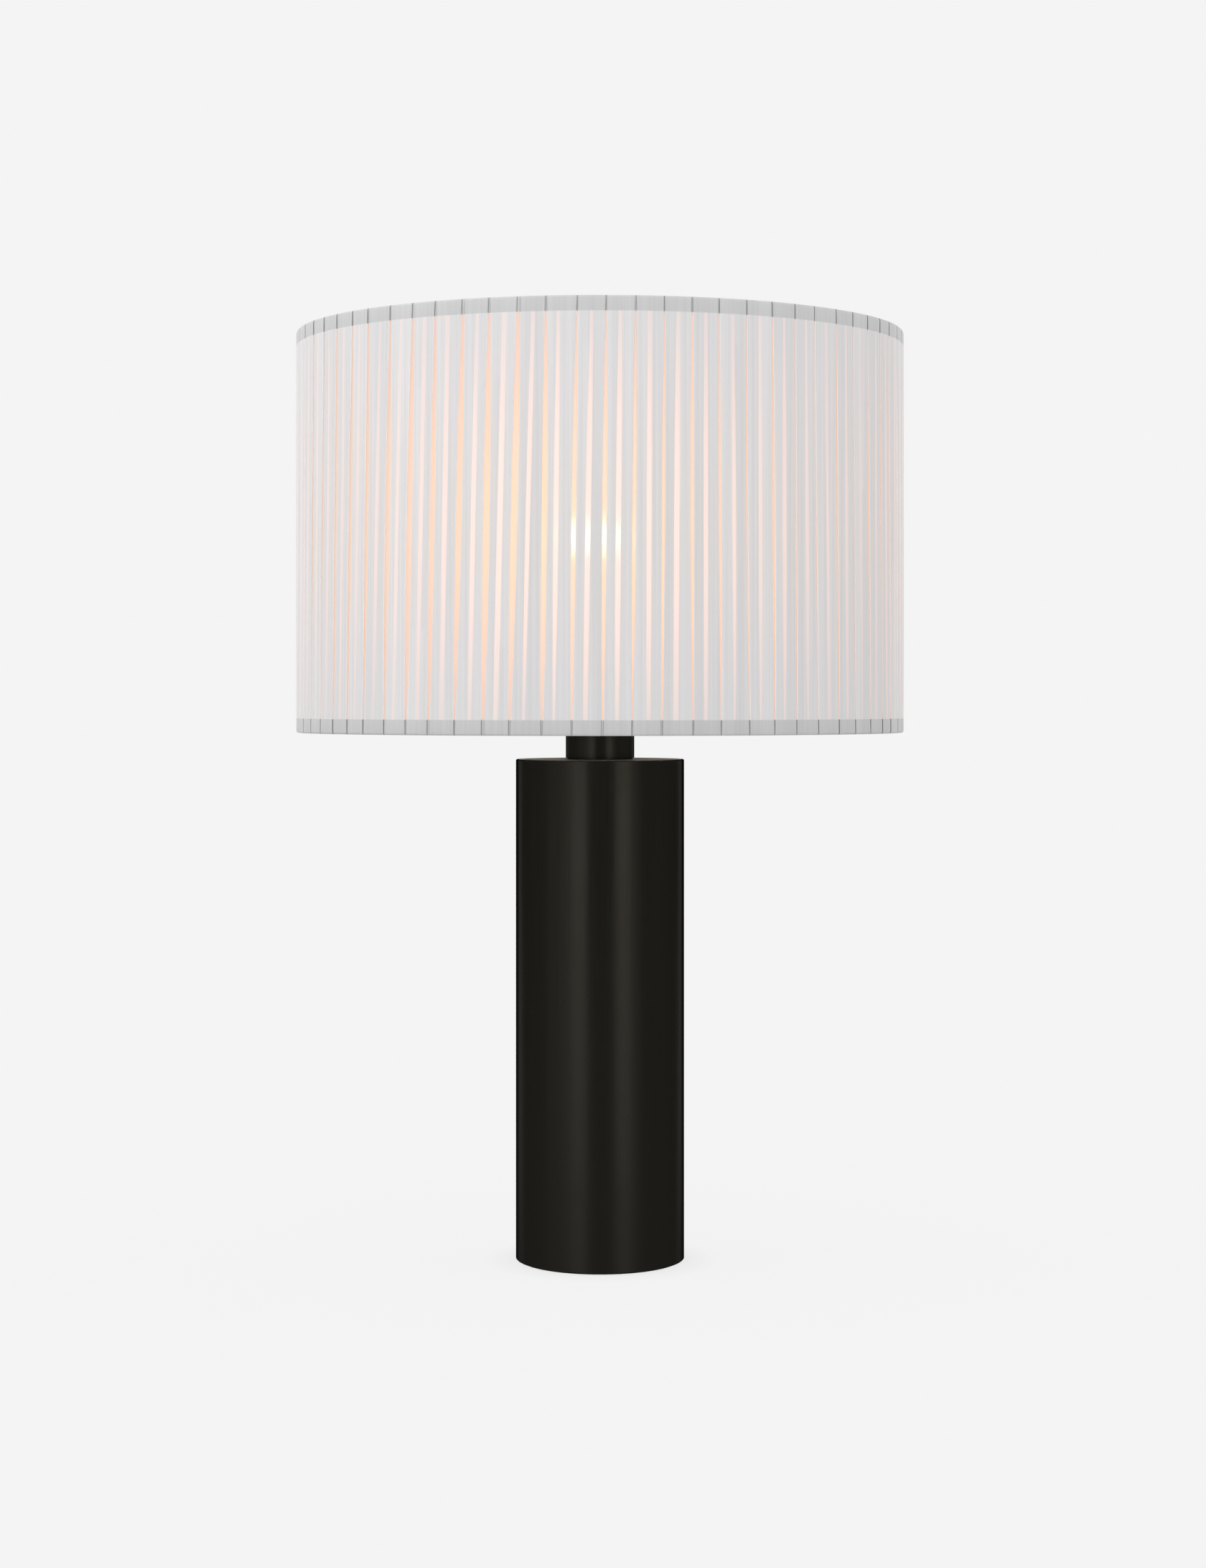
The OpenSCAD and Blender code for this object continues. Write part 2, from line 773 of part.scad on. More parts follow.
module harp_saddle() {
    color(nickel)
        translate([0, 0, neck_top])
            difference() {
                intersection() {
                    translate([0, saddle_w / 2, 0])
                        rotate([90, 0, 0])
                            linear_extrude(height = saddle_w)
                                saddle_strip();
                    union() {
                        translate([-ear_x, -saddle_w / 2, 0])
                            cube([2 * ear_x, saddle_w, 2 * saddle_t]);
                        translate([-ear_x, -ear_w / 2, 0])
                            cube([2 * ear_x, ear_w, ear_shoulder_h]);
                        translate([-ear_x, -tab_w / 2, 0])
                            cube([2 * ear_x, tab_w, tab_top - neck_top]);
                    }
                }
                translate([0, 0, -past])
                    cylinder(r = rod_r + slip, h = saddle_t + 2 * past);
            }
}

module lock_nut() {
    color(brass)
        translate([0, 0, saddle_top])
            hex_nut();
}

// The harp's route in the XZ plane: right foot, splay, leg and crown, then the left side
harp_leg = [
    [foot_x, 0, foot_z],
    each arc_xz([foot_x + splay_bend_r, foot_top], splay_bend_r, 180, 180 - splay, bend_steps),
    each arc_xz([harp_r - splay_bend_r, leg_z], splay_bend_r, -splay, 0, bend_steps),
];
harp_crown = arc_xz([0, crown_z], harp_r, 0, 180, crown_steps);
harp_route = [
    each harp_leg,
    each harp_crown,
    for (i = [len(harp_leg) - 1 : -1 : 0]) [-harp_leg[i].x, 0, harp_leg[i].z],
];

module harp_wire() {
    color(nickel)
        tube_along(harp_route, harp_wire_r, [0, 1, 0]);
}

module harp_stud() {
    color(brass)
        difference() {
            union() {
                translate([0, 0, seat_z - seat_h])
                    cylinder(d = seat_d, h = seat_h);
                cylinder_between(stud_r, seat_z - seat_h / 2, stud_top);
            }
            wire_bend(
                [0, crown_z],
                harp_r,
                90 - stud_groove_turn,
                90 + stud_groove_turn,
                harp_wire_r + slip / 2
            );
        }
}

// An upright cylinder between two heights
module cylinder_between(r, z_from, z_to) {
    translate([0, 0, z_from])
        cylinder(r = r, h = z_to - z_from);
}

module harp_sleeve() {
    translate([sleeve_x, 0, sleeve_z])
        band(sleeve_r, sleeve_in_r, sleeve_l);
}

module harp_sleeve_left() {
    color(nickel)
        mirror([1, 0, 0])
            harp_sleeve();
}

module harp_sleeve_right() {
    color(nickel)
        harp_sleeve();
}

// Half of the section of a cup with a rounded shoulder, standing on z = 0
module cup_section(r, h, shoulder_r) {
    square([r - shoulder_r, h]);
    translate([0, shoulder_r])
        square([r, h - shoulder_r]);
    intersection() {
        translate([r - shoulder_r, shoulder_r])
            circle(r = shoulder_r);
        square([r, h]);
    }
}

module set_screw_hole(gap) {
    translate([0, 0, set_screw_z])
        rotate([90, 0, set_screw_turn])
            translate([0, 0, rod_r + slip])
                cylinder(r = small_screw_r + gap, h = cap_hub_wall + set_screw_proud);
}

module socket_cap() {
    cup_h = cap_top - cap_cup_z;
    color(brass)
        difference() {
            union() {
                difference() {
                    translate([0, 0, cap_cup_z])
                        rotate_extrude()
                            cup_section(cap_r, cup_h, cap_shoulder_r);
                    translate([0, 0, cap_cup_z + cap_t])
                        rotate_extrude()
                            cup_section(cap_in_r, cup_h, cap_shoulder_r - cap_t);
                }
                cylinder_between(cap_hub_r, socket_z, hub_top);
            }
            cylinder_between(rod_r + slip / 2, socket_z - past, hub_top + past);
            set_screw_hole(slip / 2);
        }
}

module socket_set_screw() {
    color(steel)
        set_screw_hole(0);
}

module socket_shell() {
    color(brass)
        difference() {
            translate([0, 0, shell_z])
                band(shell_r, shell_in_r, shell_top - shell_z);
            switch_bar(shaft_hole_r, block_r, cap_r + past);
        }
}

module socket_insulator() {
    color(fibre)
        difference() {
            translate([0, 0, block_z])
                band(insulator_r, insulator_in_r, shell_top - shell_rise / 2 - block_z);
            switch_bar(shaft_hole_r, block_r, cap_r + past);
        }
}

module socket_body() {
    color(black_plastic)
        difference() {
            union() {
                cylinder_between(block_r, block_z, flange_z);
                cylinder_between(flange_r, flange_z, contact_z);
            }
            switch_bar(switch_shaft_r + shaft_gap, block_r - shaft_depth - past, block_r + past);
            terminal_shanks(slip / 2);
        }
}

// The shanks of the two terminal screws, or with a gap the holes for them
module terminal_shanks(gap) {
    for (side = [0, 1])
        mirror([side, 0, 0])
            translate([block_r - terminal_depth, 0, block_mid_z])
                rotate([0, 90, 0])
                    cylinder(r = small_screw_r + gap, h = terminal_head_x - block_r + terminal_depth);
}

module terminal_screws() {
    color(brass) {
        terminal_shanks(0);
        for (side = [0, 1])
            mirror([side, 0, 0])
                translate([terminal_head_x, 0, block_mid_z])
                    rotate([0, 90, 0])
                        difference() {
                            cylinder(d = terminal_head_d, h = terminal_head_t);
                            translate([-terminal_head_d, -screw_slot_w / 2, terminal_head_t / 2])
                                cube([2 * terminal_head_d, screw_slot_w, terminal_head_t]);
                        }
    }
}

module screw_shell() {
    color(brass)
        translate([0, 0, contact_z])
            band(screw_shell_r, screw_shell_in_r, thread_h);
}

module centre_contact() {
    color(brass)
        cylinder_between(contact_d / 2, contact_z, contact_top);
}

// One lead: down from its terminal, over the hub, through the rod, and back to the inlet
function beside_bore(out, z) =
    [lead_bore_x, 0, z] + out * [cos(lead_run_turn), sin(lead_run_turn), 0];
function lead_bend(centre, from, to) = arc_xz(centre, lead_bend_r, from, to, bend_steps);
lead_high_bend = lead_bend([lead_run_l - lead_bend_r, lead_shelf_z + lead_bend_r], 0, -90);
lead_rod_bend = lead_bend([lead_bend_r, lead_shelf_z - lead_bend_r], 90, 180);
lead_low_bend = lead_bend([lead_bend_r, inlet_z + lead_bend_r], 180, 270);
lead_route = [
    beside_bore(lead_run_l, block_mid_z),
    for (p = lead_high_bend) beside_bore(p.x, p.z),
    for (p = lead_rod_bend) beside_bore(p.x, p.z),
    for (p = lead_low_bend) [lead_bore_x, p.x, p.z],
    [lead_bore_x, bushing_in_y - lead_stop, inlet_z],
];

module lead_wires() {
    color(lead_white)
        for (side = [0, 1])
            mirror([side, 0, 0])
                tube_along(lead_route, lead_r, [1, 0, 0]);
}

module switch_knob() {
    grip_y = knob_y + knob_t;
    color(black_plastic) {
        switch_bar(switch_shaft_r, block_r - shaft_depth, grip_y);
        switch_bar(knob_d / 2, knob_y, grip_y);
        translate([0, -grip_y, switch_z - grip_t / 2])
            linear_extrude(height = grip_t)
                grip_outline();
    }
}

// The flat grip seen from above, with a round end towards -Y
module grip_outline() {
    round_r = grip_w / 2;
    translate([-round_r, round_r - grip_l])
        square([grip_w, grip_l - round_r]);
    translate([0, round_r - grip_l])
        circle(r = round_r);
}

// Half of the section of the glass, drawn smaller by inset
module glass_section(inset) {
    neck_r = glass_neck_r - inset;
    rise = globe_z - glass_arc_z;
    arc_r = (pow(glass_neck_r, 2) + pow(rise, 2) - pow(bulb_r, 2)) / (2 * (bulb_r - glass_neck_r));
    reach = (bulb_r - inset) / (bulb_r + arc_r);
    meet = [(glass_neck_r + arc_r) * reach, globe_z - rise * reach];
    intersection() {
        union() {
            translate([0, globe_z])
                circle(r = bulb_r - inset);
            difference() {
                polygon([
                    [0, glass_z],
                    [neck_r, glass_z],
                    [neck_r, glass_arc_z],
                    meet,
                    [0, globe_z],
                ]);
                translate([glass_neck_r + arc_r, glass_arc_z])
                    circle(r = arc_r + inset);
            }
        }
        translate([0, glass_z])
            square([bulb_r, bulb_l]);
    }
}

module bulb_glass() {
    color(frosted_glass)
        rotate_extrude()
            difference() {
                glass_section(0);
                glass_section(glass_t);
            }
}

// The outside of the screw base, drawn smaller by inset
module bulb_cap_section(inset) {
    wide_z = bulb_lip_h + bulb_cone_h;
    polygon([
        [0, bulb_lip_h],
        [bulb_lip_r + bulb_base_t - inset, bulb_lip_h],
        [bulb_base_r - inset, wide_z],
        [bulb_base_r - inset, bulb_base_h],
        [0, bulb_base_h],
    ]);
}

module bulb_cap() {
    color(nickel)
        translate([0, 0, bulb_z])
            rotate_extrude()
                difference() {
                    bulb_cap_section(0);
                    bulb_cap_section(bulb_base_t);
                }
}

module bulb_insulator() {
    plug_r = bulb_lip_r - slip;
    color(black_plastic)
        translate([0, 0, bulb_z])
            rotate_extrude()
                polygon([
                    [0, bulb_contact_t],
                    [bulb_contact_d / 2, bulb_contact_t],
                    [plug_r, bulb_lip_h - slip],
                    [plug_r, bulb_lip_h + bulb_plug_h],
                    [0, bulb_lip_h + bulb_plug_h],
                ]);
}

module bulb_contact() {
    color(nickel)
        cylinder_between(bulb_contact_d / 2, bulb_z, bulb_z + bulb_contact_t);
}

module bulb_stem() {
    color(clear_glass) {
        cylinder_between(glass_neck_r - glass_t - slip, glass_z, glass_z + glass_t);
        cylinder_between(stem_d / 2, glass_z, stem_top);
    }
}

module bulb_filament() {
    half_w = filament_w / 2;
    lead_in_x = stem_d / 4;
    color(steel) {
        for (side = [0, 1])
            mirror([side, 0, 0]) {
                wire([lead_in_x, stem_top], [half_w, filament_z], filament_wire_r);
                translate([half_w, 0, filament_z])
                    sphere(r = filament_coil_r);
            }
        wire([-half_w, filament_z], [half_w, filament_z], filament_coil_r);
    }
}

module spider_fitter() {
    color(nickel) {
        translate([0, 0, hub_z])
            band(hub_d / 2, hub_hole_d / 2, hub_t);
        for (i = [0 : arm_count - 1])
            rotate([0, 0, arm_turn + i * 360 / arm_count])
                spider_arm();
        translate([0, 0, top_ring_z])
            wire_ring(ring_r, ring_wire_r);
    }
}

module spider_arm() {
    turn_x = ring_r - arm_bend_r;
    wire([hub_d / 2 - arm_r, arm_z], [turn_x, arm_z], arm_r);
    wire_bend([turn_x, arm_z + arm_bend_r], arm_bend_r, -90, 0, arm_r);
    wire([ring_r, arm_z + arm_bend_r], [ring_r, top_ring_z], arm_r);
}

module bottom_ring() {
    color(nickel)
        translate([0, 0, bottom_ring_z])
            wire_ring(ring_r, ring_wire_r);
}

module shade_liner() {
    color(liner_white)
        translate([0, 0, shade_z + liner_inset])
            band(liner_r, liner_r - liner_t, shade_h - 2 * liner_inset);
}

module binding_tape() {
    band(tape_r, tape_r - tape_t, tape_h);
}

module top_tape() {
    color(tape_white)
        translate([0, 0, shade_top - liner_inset - tape_h])
            binding_tape();
}

module bottom_tape() {
    color(tape_white)
        translate([0, 0, shade_z + liner_inset])
            binding_tape();
}

// The pleats seen from above: flat faces with a straight-sided gap between each two
function polar(r, turn) = r * [cos(turn), sin(turn)];
function pleat(turn) = [
    polar(shade_r, turn + gap_turn / 2),
    polar(shade_r, turn + pleat_turn - gap_turn / 2),
    polar(shade_r - pleat_depth, turn + pleat_turn - gap_turn / 2),
    polar(shade_r - pleat_depth, turn + pleat_turn + gap_turn / 2),
];
pleat_outline = [for (i = [0 : pleat_count - 1]) each pleat((i - 0.5) * pleat_turn)];
// The inside of the cover has two flats for each pleat, clear of the liner
inner_flat_turn = pleat_turn / 2;
inner_corner_r = pleated_in_r / cos(inner_flat_turn / 2);
inner_outline = [for (i = [1 : 2 * pleat_count]) polar(inner_corner_r, i * inner_flat_turn)];

module pleated_cover() {
    color(cloth_white)
        translate([0, 0, shade_z])
            linear_extrude(height = shade_h)
                difference() {
                    polygon(pleat_outline);
                    polygon(inner_outline);
                }
}

module finial() {
    color(bronze)
        translate([0, 0, finial_z])
            difference() {
                rotate_extrude()
                    polygon([
                        [0, 0],
                        [finial_foot_d / 2, 0],
                        [finial_foot_d / 2, finial_foot_t],
                        [finial_stem_d / 2, finial_foot_t],
                        [finial_stem_d / 2, finial_stem_h],
                        [finial_d / 2 - finial_bevel, finial_stem_h],
                        [finial_d / 2, finial_stem_h + finial_bevel],
                        [finial_d / 2, finial_h - finial_bevel],
                        [finial_d / 2 - finial_bevel, finial_h],
                        [0, finial_h],
                    ]);
                translate([0, 0, -past])
                    cylinder(r = stud_r + shaft_gap, h = finial_bore_depth + past);
            }
}

column_tube();
top_plate();
base_weight();
bottom_cover();
cover_screws();
foot_pad();
cord_bushing();
threaded_rod();
rod_washer();
rod_nut();
neck_ring();
neck_cup();
harp_saddle();
lock_nut();
harp_wire();
harp_stud();
harp_sleeve_left();
harp_sleeve_right();
socket_cap();
socket_set_screw();
socket_shell();
socket_insulator();
socket_body();
terminal_screws();
screw_shell();
centre_contact();
lead_wires();
switch_knob();
bulb_glass();
bulb_cap();
bulb_insulator();
bulb_contact();
bulb_stem();
bulb_filament();
spider_fitter();
bottom_ring();
shade_liner();
top_tape();
bottom_tape();
pleated_cover();
finial();
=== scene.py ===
"""The looks of the table lamp: pleated cloth, lit bulb, dark bronze, floor, lights, camera.

All sizes are in metres, in the frame of the CAD model: +Z up, the switch knob towards -Y.
"""

import math
import random

import bpy
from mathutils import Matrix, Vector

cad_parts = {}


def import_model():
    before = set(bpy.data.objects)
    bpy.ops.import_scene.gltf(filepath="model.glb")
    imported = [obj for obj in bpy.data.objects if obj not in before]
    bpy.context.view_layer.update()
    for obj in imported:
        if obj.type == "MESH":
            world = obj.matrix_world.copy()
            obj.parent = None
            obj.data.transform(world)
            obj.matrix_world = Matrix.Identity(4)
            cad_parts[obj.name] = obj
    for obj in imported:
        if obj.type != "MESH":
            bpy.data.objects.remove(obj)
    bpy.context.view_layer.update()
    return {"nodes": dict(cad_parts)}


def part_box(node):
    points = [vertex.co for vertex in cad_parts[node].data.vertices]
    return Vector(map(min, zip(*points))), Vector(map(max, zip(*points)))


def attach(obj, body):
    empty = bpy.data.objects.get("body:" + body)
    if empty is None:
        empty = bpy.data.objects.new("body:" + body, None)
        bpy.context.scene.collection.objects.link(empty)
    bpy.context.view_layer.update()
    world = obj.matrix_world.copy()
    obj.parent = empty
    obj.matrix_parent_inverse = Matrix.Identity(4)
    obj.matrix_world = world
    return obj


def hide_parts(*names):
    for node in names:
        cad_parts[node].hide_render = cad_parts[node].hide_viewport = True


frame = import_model()

MM = 0.001
WHITE_PAGE = (0.904, 0.904, 0.904, 1)

# Places that come from the frame
shade_low, shade_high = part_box("pleated_cover")
SHADE_R = (shade_high.y - shade_low.y) / 2
SHADE_BOTTOM = shade_low.z
SHADE_TOP = shade_high.z
BAND_H = SHADE_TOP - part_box("top_tape")[0].z
glass_low, glass_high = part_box("bulb_glass")
GLOBE_R = (glass_high.x - glass_low.x) / 2
GLOBE_Z = glass_high.z - GLOBE_R

# The photograph's bright spot lies a little to the left of the shade's middle
GLOW_X = -3.5 * MM

# The pleated cloth, as it is folded
PLEATS = 70
FOLD_DEPTH = 1.15 * MM
FOLD_DEPTH_AT_BAND = 0.5 * MM
FOLD_ROUND = 0.5 * MM
STRIP_EDGE = 0.3 * MM
CREASE_W = 0.3 * MM
RIM_INSET = 2.1 * MM
GAP_W = 2.8 * MM
MIDDLE_W = 3.0 * MM
PITCH = 2 * math.pi * SHADE_R / PLEATS
CLOTH_ROWS = 44

# The glued tapes and the felt ring
TAPE_T = 0.4 * MM
FELT_INNER_R = 31.4 * MM

# Metal colours and thread pitches that several pieces share
BRASS = (0.62, 0.43, 0.17)
LAMP_THREAD = 3.6 * MM
ROD_THREAD = 0.94 * MM

# The studio
PANEL_AIM = (0, 0, 0.4)
SIDE_AIM = (0, 0, 0.36)
PANEL_DISTANCE = 1.5
PANEL_W = 0.54
PANEL_H = 1.5
FLOOR_REACH = 20.0


class Shader:
    """One material, with short calls that add and link its nodes."""

    def __init__(self, name):
        self.material = bpy.data.materials.new(name)
        self.material.use_nodes = True
        self.tree = self.material.node_tree
        self.tree.nodes.clear()
        self.place = self.add("TexCoord").outputs["Object"]

    def add(self, kind, inputs=None, **settings):
        made = self.tree.nodes.new("ShaderNode" + kind)
        for name, value in settings.items():
            setattr(made, name, value)
        for name, value in (inputs or {}).items():
            socket = made.inputs[name]
            if isinstance(value, bpy.types.NodeSocket):
                self.tree.links.new(value, socket)
            else:
                socket.default_value = value
        return made

    def math(self, operation, *values):
        return self.add("Math", dict(enumerate(values)), operation=operation).outputs[0]

    def mix(self, share, first, second):
        """A colour between two colours."""
        made = self.add("Mix", {0: share, 6: first, 7: second}, data_type="RGBA")
        return made.outputs[2]

    def span(self, value, low, high, to_low=0.0, to_high=1.0, smooth=False):
        """value from low..high, carried to to_low..to_high and kept inside."""
        kind = "SMOOTHSTEP" if smooth else "LINEAR"
        inputs = {0: value, 1: low, 2: high, 3: to_low, 4: to_high}
        return self.add("MapRange", inputs, interpolation_type=kind).outputs[0]

    def axis(self, name):
        return self.add("SeparateXYZ", {0: self.place}).outputs[name]

    def noise(self, scale, detail=2.0, roughness=0.5):
        """Noise with its own scale along each axis, in features per metre."""
        spread = self.add("Mapping", {"Vector": self.place, "Scale": scale}).outputs[0]
        inputs = {"Vector": spread, "Scale": 1.0, "Detail": detail, "Roughness": roughness}
        return self.add("TexNoise", inputs).outputs["Fac"]

    def bump(self, height, distance):
        inputs = {"Height": height, "Distance": distance, "Strength": 1.0}
        return self.add("Bump", inputs).outputs[0]

    def wave(self, scale, axis):
        """Even bands across one axis."""
        inputs = {"Vector": self.place, "Scale": scale}
        return self.add("TexWave", inputs, bands_direction=axis).outputs["Fac"]

    def attribute(self, name):
        return self.add("Attribute", attribute_name=name).outputs["Fac"]

    def surface(self, shader):
        self.add("OutputMaterial", {"Surface": shader})
        return self.material


def even(scale):
    return (scale, scale, scale)


def shade_of(colour, share=1.0):
    """The colour with its alpha, darker or lighter by a share."""
    return tuple(min(1, share * c) for c in colour) + (1,)


def metal(name, colour, rough, grain, grain_depth, spots=None):
    """Metal with a fine grain and slightly uneven tone. spots is (colour, share, scale)."""
    s = Shader(name)
    streaks = s.noise(grain, detail=3.0, roughness=0.65)
    cloudy = s.noise(even(22), detail=3.0)
    mottle = s.span(s.math("ADD", streaks, cloudy), 0.7, 1.3)
    tone = s.mix(mottle, shade_of(colour, 0.82), shade_of(colour, 1.14))
    if spots:
        spot_colour, share, scale = spots
        mask = s.span(s.noise(even(scale), detail=4.0), 0.5, 0.66, 0.0, share, smooth=True)
        tone = s.mix(mask, tone, shade_of(spot_colour))
    roughness = s.span(streaks, 0.3, 0.7, rough - 0.05, rough + 0.06)
    normal = s.bump(streaks, grain_depth)
    inputs = {"Base Color": tone, "Metallic": 1.0, "Roughness": roughness, "Normal": normal}
    return s.surface(s.add("BsdfPrincipled", inputs).outputs[0])


def bronze(name, grain, rough, mottled):
    """Dark oil-rubbed bronze: duller near the foot and, where mottled, browner in patches there.

    The rubbed finish doesn't mirror at a grazing look, so it goes over to plain diffuse.
    """
    s = Shader(name)
    streaks = s.noise(grain, detail=4.0, roughness=0.7)
    cloudy = s.noise(even(30), detail=4.0, roughness=0.6)
    dark, light = (0.0104, 0.0099, 0.0080, 1), (0.0136, 0.0128, 0.0102, 1)
    tone = s.mix(s.span(streaks, 0.3, 0.7), dark, light)
    if mottled:
        low_down = s.span(s.axis("Z"), 0.14, 0.02, 0.25, 1.0)
        patches = s.span(cloudy, 0.5, 0.72, 0.0, 0.7, smooth=True)
        tone = s.mix(s.math("MULTIPLY", patches, low_down), tone, (0.0185, 0.0118, 0.0088, 1))
    # Lighter, rougher and more diffuse towards the foot.
    tone_drift = s.span(s.axis("Z"), 0.28, 0.03)
    tone = s.mix(tone_drift, tone, (0.0155, 0.0146, 0.0122, 1))
    roughness = s.span(s.math("ADD", streaks, cloudy), 0.7, 1.3, rough - 0.04, rough + 0.05)
    roughness = s.math("ADD", roughness, s.math("MULTIPLY", tone_drift, 0.08))
    inputs = {
        "Base Color": tone,
        "Metallic": 1.0,
        "Roughness": roughness,
        "Specular Tint": (0.5, 0.5, 0.5, 1),
        "Normal": s.bump(streaks, 0.01 * MM),
    }
    shiny = s.add("BsdfPrincipled", inputs).outputs[0]
    dull_tone = s.mix(tone_drift, (0.0040, 0.0038, 0.0032, 1), (0.0078, 0.0073, 0.0062, 1))
    dull = s.add("BsdfDiffuse", {"Color": dull_tone}).outputs[0]
    facing = s.add("LayerWeight", {"Blend": 0.5}).outputs["Facing"]
    grazing = s.span(facing, 0.49, 0.8, smooth=True)
    share = s.math("MAXIMUM", grazing, s.math("MULTIPLY", tone_drift, 0.35))
    return s.surface(s.add("MixShader", {0: share, 1: shiny, 2: dull}).outputs[0])


def threaded(name, colour, rough, pitch, depth):
    """Metal with a rolled thread: a ridge that climbs by one pitch a turn round the Z axis."""
    s = Shader(name)
    turn = s.math("ARCTAN2", s.axis("Y"), s.axis("X"))
    rise = s.math("DIVIDE", s.axis("Z"), pitch)
    climb = s.math("SUBTRACT", rise, s.math("DIVIDE", turn, math.tau))
    ridge = s.math("SINE", s.math("MULTIPLY", climb, math.tau))
    tone_drift = s.noise(even(140), detail=3.0)
    tone = s.mix(s.span(tone_drift, 0.35, 0.7), shade_of(colour, 0.8), shade_of(colour))
    roughness = s.span(tone_drift, 0.3, 0.7, rough - 0.06, rough + 0.08)
    normal = s.bump(ridge, depth)
    inputs = {"Base Color": tone, "Metallic": 1.0, "Roughness": roughness, "Normal": normal}
    return s.surface(s.add("BsdfPrincipled", inputs).outputs[0])


def moulded(name, colour, rough, texture_scale, texture_depth, gloss=0.5):
    """Plastic, glass or paint with a fine surface texture."""
    s = Shader(name)
    fine = s.noise(even(texture_scale), detail=3.0)
    cloudy = s.noise(even(35), detail=2.0)
    tone = s.mix(s.span(cloudy, 0.35, 0.65), shade_of(colour, 0.85), shade_of(colour))
    roughness = s.span(fine, 0.3, 0.7, rough - 0.05, rough + 0.05)
    normal = s.bump(fine, texture_depth)
    inputs = {
        "Base Color": tone,
        "Roughness": roughness,
        "Normal": normal,
        "Specular IOR Level": gloss,
    }
    return s.surface(s.add("BsdfPrincipled", inputs).outputs[0])


def woven(name, colour, thread, depth):
    """Plain-woven tape or pressed felt, lit from both sides alike."""
    s = Shader(name)
    wave = s.wave(thread, "Z")
    fibres = s.noise((700, 700, 1400), detail=3.0)
    tone = s.mix(s.span(fibres, 0.3, 0.7), shade_of(colour, 0.84), shade_of(colour))
    normal = s.bump(s.math("ADD", s.math("MULTIPLY", wave, 0.5), fibres), depth)
    inputs = {"Base Color": tone, "Roughness": 0.9, "Sheen Weight": 0.3, "Normal": normal}
    return s.surface(s.add("BsdfPrincipled", inputs).outputs[0])


def wall_light(s):
    """How strongly the bulb lights the shade's wall at this height: 1 level with the bulb."""
    rise = s.math("DIVIDE", s.math("SUBTRACT", s.axis("Z"), GLOBE_Z), SHADE_R)
    spread = s.math("ADD", 1.0, s.math("MULTIPLY", rise, rise))
    return s.math("POWER", spread, -1.5)


def light_through(s, share, ior):
    """The bulb's light through the cloth, scattered a little round its straight path."""
    inputs = {"Color": share, "Roughness": 1.0, "IOR": ior}
    return s.add("BsdfRefraction", inputs, distribution="BECKMANN").outputs[0]


